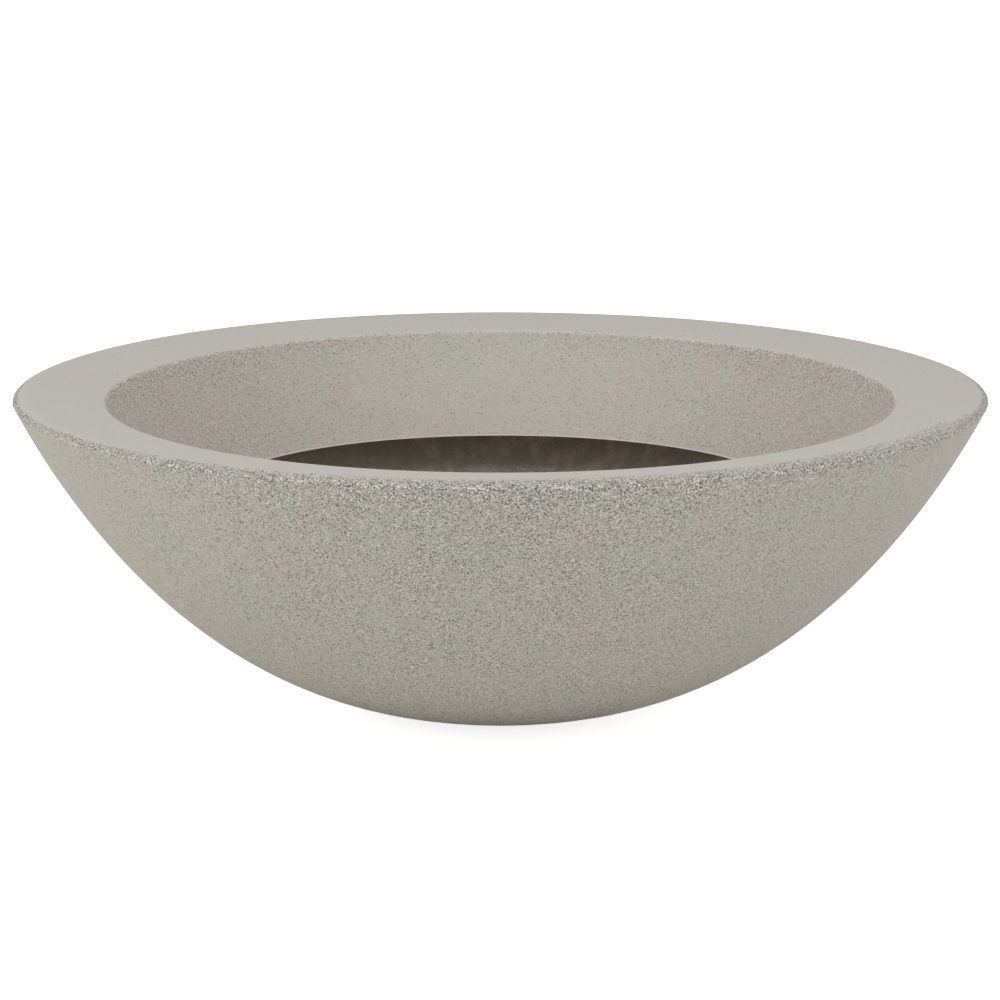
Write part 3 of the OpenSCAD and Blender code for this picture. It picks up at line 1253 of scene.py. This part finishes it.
@dataclass
class RimCollar:
    """The cast ring with the rounded edge, the flat top and the slope down to the lip.

    Attributes:
        wall: The wall that carries it.
        top_z: Height of the top.
        lip_z: Height of the lip.
        edge_width: Width of the rounded edge.
        flat_width: Width of the flat top.
        flat_fall: Fall of the flat top from its outer to its inner edge.
        slope_reach: Distance that the slope runs inward.
        thickness: Thickness of the sloping part.
        brow: Rounding between the flat top and the slope.
        nose: Rounding of the lip.
        lip_highlight: Painted highlight: width of the line of lighter trowelled finish along the lip, for the
            light that its edge catches.
        lip_bend: Rounding between the lip's underside and the back of the slope.
        back_bend: Rounding between the back of the slope and the underside of the flat top.
        blast_reach: Distances inward from the joint between which the open grain of the edge ends.
        slope_fringe: Half the width over which the slope's open grain starts at the flat top.
        coarse_depth: Distance down the slope over which its grain weakens.
        steps: Flats round the axis.
        edge_rows: Rows across the rounded edge.
        edge_pitch: Greatest distance between rows on the edge and the outer part of the flat top.
        slope_rows: Rows down the slope.
        slope_ends: Distances from the flat top to the first of them and from the last of them to the lip.
        lip_pitch: Greatest distance between rows under the lip.
        back_pitch: Greatest distance between rows on the back.
    """

    wall: Wall
    top_z: float
    lip_z: float
    edge_width: float = 15.5 * MM
    flat_width: float = 69.5 * MM
    flat_fall: float = 6.8 * MM
    slope_reach: float = 103 * MM
    thickness: float = 14 * MM
    brow: float = 4 * MM
    nose: float = 1.2 * MM
    lip_highlight: float = 1.8 * MM
    lip_bend: float = 1.5 * MM
    back_bend: float = 8 * MM
    blast_reach: Span = (3 * MM, 32 * MM)
    slope_fringe: float = 4 * MM
    coarse_depth: float = 22 * MM
    steps: int = STEPS
    edge_rows: int = 14
    edge_pitch: float = 10 * MM
    slope_rows: int = 14
    slope_ends: Span = (5 * MM, 2.4 * MM)
    lip_pitch: float = 8 * MM
    back_pitch: float = 16 * MM

    def _edge_corners(self) -> list[Corner]:
        """Follows the rounded edge, a quarter of an ellipse, and the flat top as far as the blasting reaches.

        Returns:
            The corners from the joint inwards.
        """
        joint = self.wall.joint
        points = []
        for i in range(self.edge_rows + 1):
            angle = math.radians(90 * i / self.edge_rows)
            points.append(joint + Vector((-self.edge_width * (1 - math.cos(angle)),
                                          (self.top_z - joint.y) * math.sin(angle))))
        start, end = self.blast_reach
        share = (end - self.edge_width) / self.flat_width
        points.append(points[-1] - Vector((self.flat_width, self.flat_fall)) * share)
        made = []
        for point in points:
            smooth = max(0.0, min(1.0, (joint.x - point.x - start) / (end - start)))
            face = Faces.BLASTED_EDGE.value.towards(Faces.TROWELLED_TOP.value, smooth)
            made.append(Corner(point, face, pitch=self.edge_pitch))
        made[0] = replace(made[0], inward=self.wall.inward)
        return made

    def _slope_face(self, depth: float) -> Face:
        """The finish of the slope at a distance from the flat top, most open near its top."""
        face = Faces.SLOPE_LOW.value.towards(Faces.SLOPE_TOP.value, math.exp(-depth / self.coarse_depth))
        return replace(face, bare=min(1.0, (depth + self.slope_fringe) / (2 * self.slope_fringe)))

    def profile(self) -> Profile:
        """Draws the rounded edge, flat top, slope, lip, back and underside.

        Returns:
            The outline.
        """
        flat_out = Vector((self.wall.joint.x - self.edge_width, self.top_z))
        flat_in = flat_out - Vector((self.flat_width, self.flat_fall))
        lip = Vector((flat_in.x - self.slope_reach, self.lip_z))
        nose_mid = lip + Vector((self.nose, self.nose))
        to_flat = flat_in - nose_mid
        side = math.degrees(math.atan2(to_flat.y, to_flat.x) + math.acos(self.nose / to_flat.length))
        slope_end = nose_mid + heading(side) * self.nose
        back_start = slope_end - heading(side) * self.thickness
        slope = flat_in - slope_end
        lip_back = crossing(back_start, slope, lip, Vector((1.0, 0.0)))
        flange_back = crossing(back_start, slope, self.wall.seat_end, flat_out - flat_in)
        tip = crossing(slope_end, slope, lip, Vector((1.0, 0.0)))

        raw, trowelled = Faces.RAW_INSIDE.value, Faces.TROWELLED_TOP.value
        corners = self._edge_corners()
        corners.append(Corner(flat_in + (flat_out - flat_in).normalized() * self.slope_fringe, trowelled))
        corners.append(Corner(flat_in, self._slope_face(0.0), rounding=self.brow))
        down, length = (tip - flat_in).normalized(), (tip - flat_in).length
        first, last = self.slope_ends[0], length - self.slope_ends[1]
        for i in range(self.slope_rows):
            depth = first + (last - first) * i / (self.slope_rows - 1)
            corners.append(Corner(flat_in + down * depth, self._slope_face(depth)))
        corners += [
            # Painted highlight: a thin line of the lighter trowelled finish along the lip's edge.
            Corner(tip - down * self.lip_highlight, trowelled),
            Corner(tip, raw, rounding=self.nose, pitch=self.lip_pitch),
            Corner(lip_back, raw, rounding=self.lip_bend, pitch=self.back_pitch),
            Corner(flange_back, raw, rounding=self.back_bend, pitch=self.back_pitch),
            Corner(self.wall.seat_end, Faces.BEDDED.value)]
        return Profile(corners)

    def build(self, turning: Turning, concrete: bpy.types.Material) -> None:
        """Builds the collar and puts it on the planter.

        Args:
            turning: The turning tree.
            concrete: The finish.
        """
        piece = turning.turn("cast_collar", self.profile(), self.steps, concrete)
        settle(piece, Body.PLANTER, "concrete", "rim_collar")


@dataclass
class MortarBed:
    """The bed of mortar between the seat and the collar, struck flush and blasted with them.

    Attributes:
        wall: The wall and its seat.
        steps: Flats round the axis.
        pitch: Greatest distance between rows across the bed.
    """

    wall: Wall
    steps: int = STEPS
    pitch: float = 0.6 * MM

    def build(self, turning: Turning, mortar: bpy.types.Material) -> None:
        """Builds the bed and puts it on the planter.

        Args:
            turning: The turning tree.
            mortar: The finish.
        """
        wall = self.wall
        along_seat = (wall.seat_end - wall.joint).normalized()
        blasted, bedded = Faces.BLASTED_EDGE.value, Faces.BEDDED.value
        profile = Profile([
            Corner(wall.top, blasted, pitch=self.pitch, inward=wall.inward),
            Corner(wall.joint, blasted, inward=wall.inward),
            Corner(wall.seat_end - along_seat * wall.seat_fringe, bedded),
            Corner(wall.seat_end, bedded, pitch=self.pitch),
            Corner(wall.seat_end + wall.bed_drop, bedded)])
        piece = turning.turn("bedding_mortar", profile, self.steps, mortar)
        settle(piece, Body.PLANTER, "mortar", "collar_mortar")


@dataclass
class DrainSleeve:
    """The plastic sleeve cast into the floor, with a flange and anchor ribs.

    Attributes:
        low_z: Height of its lower end.
        floor_z: Height of the flange's top.
        flange_radius: Radius of the flange.
        bore_radius: Radius of the bore.
        wall: Thickness of the tube.
        flange_depth: Thickness of the flange.
        ribs: Number of anchor ribs.
        rib_height: Height of each rib.
        rib_width: Width of each rib.
        edge: Rounding of both ends of the bore and of the flange's top.
        fine_edge: Rounding of the ribs and of the flange's underside.
        steps: Flats round the axis.
        bore_pitch: Greatest distance between rows down the bore.
    """

    low_z: float
    floor_z: float
    flange_radius: float
    bore_radius: float = 20 * MM
    wall: float = 4 * MM
    flange_depth: float = 3 * MM
    ribs: int = 2
    rib_height: float = 2 * MM
    rib_width: float = 3 * MM
    edge: float = 0.8 * MM
    fine_edge: float = 0.3 * MM
    steps: int = FINE_STEPS
    bore_pitch: float = 6 * MM

    def profile(self) -> Profile:
        """Draws the lower end, ribbed outside, flange and bore.

        Returns:
            The outline.
        """
        outside = self.bore_radius + self.wall
        crest = outside + self.rib_height
        flange_z = self.floor_z - self.flange_depth
        pitch = (flange_z - self.low_z) / (self.ribs + 1)
        corners = [even(self.bore_radius, self.low_z, self.edge), even(outside, self.low_z, self.edge)]
        for i in range(self.ribs):
            low = self.low_z + (i + 1) * pitch - self.rib_width / 2
            high = low + self.rib_width
            corners += [even(*place, self.fine_edge)
                        for place in ((outside, low), (crest, low), (crest, high), (outside, high))]
        corners += [even(outside, flange_z, self.fine_edge),
                    even(self.flange_radius, flange_z, self.fine_edge),
                    even(self.flange_radius, self.floor_z, self.edge),
                    even(self.bore_radius, self.floor_z, self.edge, self.bore_pitch)]
        return Profile(corners)

    def build(self, turning: Turning) -> None:
        """Builds the sleeve and puts it on the planter.

        Args:
            turning: The turning tree.
        """
        plastic = frame_finish("sleeve_plastic")
        piece = turning.turn("moulded_sleeve", self.profile(), self.steps, plastic)
        settle(piece, Body.PLANTER, "sleeve_plastic", "drain_sleeve")


@dataclass
class DrainPlug:
    """The rubber plug: a head on the flange, a ribbed shank in the sleeve and a tab to pull.

    Attributes:
        low_z: Height of the end of the shank.
        floor_z: Height of the underside of the head.
        top_z: Height of the top of the tab.
        head_radius: Radius of the head.
        rib_radius: Radius of the sealing ribs.
        head_height: Thickness of the head.
        ribs: Number of sealing ribs.
        rib_width: Width of each rib.
        rib_depth: Depth of the grooves between the ribs.
        rib_flank: How much the flank of a rib leans out, over its height.
        end_edge: Rounding of the end of the shank.
        rib_edge: Rounding of the ribs and of the head's underside.
        groove_edge: Rounding at the bottom of the grooves.
        head_edge: Rounding of the head's top.
        tab_width: Width of the tab.
        tab_thickness: Thickness of the tab.
        fillet: Height of the fillet where the tab grows out of the head.
        tab_edge: Rounding of the tab's long edges.
        tab_root: Depth inside the head at which the tab starts.
        tab_crown: Distance between the last level of the tab and its very top.
        tab_around: Points round each level of the tab.
        tab_levels: Steps from the first level of the tab to the last.
        steps: Flats round the axis.
        flat_pitch: Greatest distance between rows on the flat faces.
    """

    low_z: float
    floor_z: float
    top_z: float
    head_radius: float
    rib_radius: float = 19.95 * MM
    head_height: float = 5 * MM
    ribs: int = 3
    rib_width: float = 2 * MM
    rib_depth: float = 1.5 * MM
    rib_flank: float = 0.3 * MM
    end_edge: float = 0.7 * MM
    rib_edge: float = 0.6 * MM
    groove_edge: float = 0.5 * MM
    head_edge: float = 1.6 * MM
    tab_width: float = 36 * MM
    tab_thickness: float = 7 * MM
    fillet: float = 3 * MM
    tab_edge: float = 2 * MM
    tab_root: float = 1 * MM
    tab_crown: float = 0.02 * MM
    tab_around: int = 40
    tab_levels: int = 44
    steps: int = FINE_STEPS
    flat_pitch: float = 6 * MM

    def profile(self) -> Profile:
        """Draws the head and the shank, from the axis below to the axis above.

        Returns:
            The outline.
        """
        core = self.rib_radius - self.rib_depth
        pitch = (self.floor_z - self.low_z - self.rib_width) / self.ribs
        head_z = self.floor_z + self.head_height
        corners = [even(0.0, self.low_z, pitch=self.flat_pitch),
                   even(self.rib_radius, self.low_z, self.end_edge)]
        for i in range(self.ribs):
            rib_top = self.low_z + i * pitch + self.rib_width
            corners += [even(self.rib_radius, rib_top, self.rib_edge),
                        even(core, rib_top + self.rib_flank, self.groove_edge)]
            if i < self.ribs - 1:
                next_rib = rib_top + pitch - self.rib_width
                corners += [even(core, next_rib - self.rib_flank, self.groove_edge),
                            even(self.rib_radius, next_rib, self.rib_edge)]
        corners += [even(core, self.floor_z, self.groove_edge),
                    even(self.head_radius, self.floor_z, self.rib_edge),
                    even(self.head_radius, head_z, self.head_edge, self.flat_pitch),
                    even(0.0, head_z)]
        return Profile(corners, closed=False)

    def _tab_ring(self, height: float) -> list[Vector]:
        """One level of the tab.

        Args:
            height: Height above the head.

        Returns:
            The points of a rounded rectangle, flared near the head and narrowed in the round top.
        """
        radius = self.tab_width / 2
        bend = self.top_z - self.floor_z - self.head_height - radius
        below = max(0.0, 1 - height / self.fillet)
        flare = self.fillet * (1 - math.sqrt(1 - min(1.0, below) ** 2)) if height > 0 else self.fillet
        half = math.sqrt(max(radius ** 2 - max(0.0, height - bend) ** 2, 0.0)) + flare
        depth = self.tab_thickness / 2 + flare
        crown = self.top_z - self.floor_z - self.head_height - height
        if crown < self.tab_edge:
            depth -= self.tab_edge - math.sqrt(max(self.tab_edge ** 2 - (self.tab_edge - crown) ** 2, 0.0))
        corner = min(self.tab_edge + flare, half, depth)
        z = self.floor_z + self.head_height + height
        points = []
        for i in range(self.tab_around):
            angle = 2 * math.pi * (i + 0.5) / self.tab_around
            across, along = math.cos(angle), math.sin(angle)
            points.append(Vector((math.copysign(half - corner, across) + corner * across,
                                  math.copysign(depth - corner, along) + corner * along, z)))
        return points

    def _tab(self) -> bpy.types.Object:
        """Builds the pull tab, a stack of rounded levels that starts inside the head.

        Returns:
            The tab, an object of its own.
        """
        height = self.top_z - self.floor_z - self.head_height
        mesh = bmesh.new()
        rings = []
        for i in range(self.tab_levels + 1):
            level = min(height * (1 - math.cos(math.pi * i / self.tab_levels)) / 2, height - self.tab_crown)
            rings.append([mesh.verts.new(point) for point in self._tab_ring(level)])
        rings.insert(0, [mesh.verts.new(v.co - Vector((0, 0, self.tab_root))) for v in rings[0]])
        for lower, upper in zip(rings, rings[1:]):
            for n in range(self.tab_around):
                m = (n + 1) % self.tab_around
                mesh.faces.new((lower[n], lower[m], upper[m], upper[n]))
        mesh.faces.new(rings[-1])
        mesh.faces.new(reversed(rings[0]))
        bmesh.ops.remove_doubles(mesh, verts=mesh.verts, dist=WELD)
        bmesh.ops.recalc_face_normals(mesh, faces=mesh.faces)
        data = bpy.data.meshes.new("tab")
        mesh.to_mesh(data)
        mesh.free()
        return add_object("tab", data)

    def build(self, turning: Turning) -> None:
        """Builds the plug and puts it on its own body.

        Args:
            turning: The turning tree.
        """
        piece = turning.turn("moulded_plug", self.profile(), self.steps, frame_finish("plug_rubber"))
        tab = self._tab()
        join = piece.modifiers.new("join", "BOOLEAN")
        join.operation, join.solver, join.object = "UNION", "EXACT", tab
        settle_mesh(piece, join)
        bpy.data.objects.remove(tab)
        soften(piece)
        settle(piece, Body.PLUG, "plug_rubber", "drain_plug")


@dataclass
class FootPads:
    """The rubber pads let into the foot.

    Attributes:
        circle: Radius of the circle through their middles.
        radius: Radius of each pad.
        top_z: Height of the top of the pads, inside their pockets.
        draft: How much narrower a pad is where it stands on the ground.
        draft_height: Height from which it is at its full radius.
        draft_rounding: Rounding there.
        low_edge: Rounding of the edge on the ground.
        top_edge: Rounding of the edge in the pocket.
        count: Number of pads.
        steps: Flats round each pad.
        flat_pitch: Greatest distance between rows on the flat faces.
    """

    circle: float
    radius: float
    top_z: float
    draft: float = 0.75 * MM
    draft_height: float = 4 * MM
    draft_rounding: float = 3 * MM
    low_edge: float = 1.5 * MM
    top_edge: float = 0.5 * MM
    count: int = PADS
    steps: int = 96
    flat_pitch: float = 8 * MM

    def build(self, turning: Turning) -> None:
        """Builds the pads, spread round the axis, and puts them on the planter.

        Args:
            turning: The turning tree.
        """
        profile = Profile([
            even(0.0, 0.0, pitch=self.flat_pitch),
            even(self.radius - self.draft, 0.0, self.low_edge),
            even(self.radius, self.draft_height, self.draft_rounding),
            even(self.radius, self.top_z, self.top_edge, self.flat_pitch),
            even(0.0, self.top_z)], closed=False)
        rubber = frame_finish("pad_rubber")
        piece = turning.turn("rubber_foot_pads", profile, self.steps, rubber)
        grow(piece, self._spread_tree(), {"Count": self.count, "Circle": self.circle, "Material": rubber})
        soften(piece)
        settle(piece, Body.PLANTER, "pad_rubber", *(f"foot_pad_{i + 1}" for i in range(self.count)))

    @staticmethod
    def _spread_tree() -> bpy.types.NodeTree:
        """Builds the tree that repeats a pad round the axis.

        Returns:
            The tree.
        """
        graph, given = geometry_tree("pad_spread", {
            "Count": "NodeSocketInt", "Circle": "NodeSocketFloat", "Material": "NodeSocketMaterial"})
        sockets = given.outputs
        keep(graph, spread(graph, sockets["Count"], sockets["Circle"], sockets["Geometry"]),
             sockets["Material"])
        return graph.tree


# ---------------------------------------------------------------------------------------------------------
# Studio


@dataclass(frozen=True)
class Lamp:
    """A soft square lamp, turned towards the planter.

    Attributes:
        name: Where it stands.
        azimuth: Its direction, in degrees to the right of the camera's side.
        elevation: Its elevation in degrees.
        distance: Its distance.
        side: Length of its side.
        power: Its power in watts.
    """

    name: str
    azimuth: float
    elevation: float
    distance: float
    side: float
    power: float

    def place(self) -> Vector:
        """Where it stands."""
        turn, rise = math.radians(self.azimuth), math.radians(self.elevation)
        return self.distance * Vector((math.sin(turn) * math.cos(rise), -math.cos(turn) * math.cos(rise),
                                       math.sin(rise)))


@dataclass(frozen=True)
class Studio:
    """A white floor, a white surround, soft lamps and the camera.

    Attributes:
        aim: Point on the axis that the camera's distance and elevation are measured from.
        distance: Distance from the camera to that point.
        elevation: Elevation of the camera over that point, in degrees.
        pitch: Fall of the camera's own axis below level, in degrees.
        lens: Focal length in millimetres.
        left: Distance that the camera stands left of the axis.
        sky: Strength of the white surround as light.
        horizon: Strength that it has besides at the horizon.
        horizon_top: Elevation in degrees at which that extra light has faded out.
        floor_half: Half the side of the floor.
        floor_white: Reflectance of the floor.
        floor_glow: White added to the floor where it is seen, so that it meets the surround.
        sensor: Width of the camera's sensor in millimetres.
        sight: Distance up to which the camera sees.
        lamps: The lamps.
    """

    aim: tuple[float, float, float] = (0.0, 0.0, 0.300)
    distance: float = 4.231
    elevation: float = 10.202
    pitch: float = 11.631
    lens: float = 161.82
    left: float = 0.0004
    sky: float = 0.34
    horizon: float = 0.75
    horizon_top: float = 32.0
    floor_half: float = 60.0
    floor_white: float = 0.96
    floor_glow: float = 0.80
    sensor: float = 36.0
    sight: float = 200.0
    lamps: tuple[Lamp, ...] = (
        Lamp("front", 0.0, 48.0, 4.2, 2.4, 39.5),
        Lamp("left", -75.0, 30.0, 4.0, 2.4, 42.0),
        Lamp("right", 75.0, 30.0, 4.0, 2.4, 26.5))

    @staticmethod
    def _seen(graph: Graph) -> Signal:
        """Finds the rays that show the background, straight or in a reflection or through glass.

        Args:
            graph: The graph of the background's material or of the world.

        Returns:
            1 for such a ray and 0 for any other.
        """
        path = graph.node("ShaderNodeLightPath").outputs
        camera, glossy, through = (Signal(graph, path[f"Is {kind} Ray"])
                                   for kind in ("Camera", "Glossy", "Transmission"))
        return camera.at_least(glossy).at_least(through)

    def surround(self) -> None:
        """Makes the white surround."""
        world = bpy.data.worlds.new("surround")
        graph = blank(world)
        seen = self._seen(graph)
        ray = graph.node("ShaderNodeTexCoord").outputs["Generated"]
        height = Signal(graph, graph.node("ShaderNodeSeparateXYZ", None, {"Vector": ray}).outputs["Z"])
        low = 1 - height.ramp(0.0, math.sin(math.radians(self.horizon_top)))
        strength = seen + (1 - seen) * low.between(self.sky, self.sky + self.horizon)
        light = graph.socket("ShaderNodeBackground", None, {"Color": WHITE, "Strength": strength})
        graph.node("ShaderNodeOutputWorld", None, {"Surface": light})
        bpy.context.scene.world = world

    def floor(self) -> None:
        """Lays the floor."""
        mesh = bpy.data.meshes.new("floor")
        half = self.floor_half
        mesh.from_pydata([(-half, -half, 0), (half, -half, 0), (half, half, 0), (-half, half, 0)], [],
                         [(0, 1, 2, 3)])
        plane = add_object("floor", mesh)
        material = bpy.data.materials.new("floor_white")
        graph = blank(material)
        white = (self.floor_white, self.floor_white, self.floor_white, 1.0)
        matt = graph.socket("ShaderNodeBsdfDiffuse", None, {"Color": white})
        glow = graph.socket("ShaderNodeEmission", None, {
            "Color": WHITE, "Strength": self._seen(graph) * self.floor_glow})
        both = graph.socket("ShaderNodeAddShader", None, {0: matt, 1: glow})
        graph.node("ShaderNodeOutputMaterial", None, {"Surface": both})
        mesh.materials.append(material)

    def light(self) -> None:
        """Hangs the lamps, each turned towards the planter."""
        for lamp in self.lamps:
            data = bpy.data.lights.new(lamp.name, "AREA")
            data.shape, data.size, data.energy = "SQUARE", lamp.side, lamp.power
            made = add_object(lamp.name, data)
            made.location = lamp.place()
            made.rotation_euler = (Vector(self.aim) - lamp.place()).to_track_quat("-Z", "Y").to_euler()

    def camera(self) -> None:
        """Sets up the camera."""
        rise = math.radians(self.elevation)
        data = bpy.data.cameras.new("camera")
        data.lens, data.sensor_width, data.clip_end = self.lens, self.sensor, self.sight
        made = add_object("camera", data)
        made.location = Vector(self.aim) + self.distance * Vector((0, -math.cos(rise), math.sin(rise)))
        made.location.x -= self.left
        made.rotation_euler = (math.radians(90 - self.pitch), 0.0, 0.0)
        bpy.context.scene.camera = made

    def build(self) -> None:
        """Sets up the whole studio."""
        bpy.context.scene.view_settings.view_transform = "Standard"
        self.camera()
        self.surround()
        self.floor()
        self.light()


FOOT_RADIUS = 132 * MM
PAD_CLEARANCE = 0.5 * MM  # all round a pad in its pocket


def corners(box: tuple[Vector, Vector]) -> list[list[float]]:
    """The two corners of a box as plain lists."""
    return [list(corner) for corner in box]


def main() -> None:
    logging.basicConfig(level=logging.INFO, format="%(message)s")
    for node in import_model()["nodes"]:
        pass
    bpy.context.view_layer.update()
    Studio().build()

    collar_low, collar_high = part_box("rim_collar")
    sleeve_low, sleeve_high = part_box("drain_sleeve")
    plug_low, plug_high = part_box("drain_plug")
    pad_low, pad_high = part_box("foot_pad_1")
    joint = Vector((collar_high.x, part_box("collar_mortar")[1].z))
    foot = Vector((FOOT_RADIUS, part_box("bowl_shell")[0].z))
    pad_middle = (pad_low + pad_high) / 2
    pad_circle = math.hypot(pad_middle.x, pad_middle.y)
    pad_radius = (pad_high.x - pad_low.x) / 2
    wall = Wall(joint, foot)

    turning = Turning(Surface())
    concrete = CastConcrete().material()
    mortar = replace(CastConcrete(), name="bedding_mortar", stone=MORTAR).material()
    BowlShell(wall, floor_z=sleeve_high.z, flange_radius=sleeve_high.x, pad_circle=pad_circle,
              pad_pocket=pad_radius + PAD_CLEARANCE, pad_top=pad_high.z).build(turning, concrete)
    RimCollar(wall, top_z=collar_high.z, lip_z=collar_low.z).build(turning, concrete)
    MortarBed(wall).build(turning, mortar)
    DrainSleeve(sleeve_low.z, sleeve_high.z, sleeve_high.x).build(turning)
    DrainPlug(plug_low.z, sleeve_high.z, plug_high.z, plug_high.x).build(turning)
    FootPads(pad_circle, pad_radius, pad_high.z).build(turning)


if __name__ == "__main__":
    main()
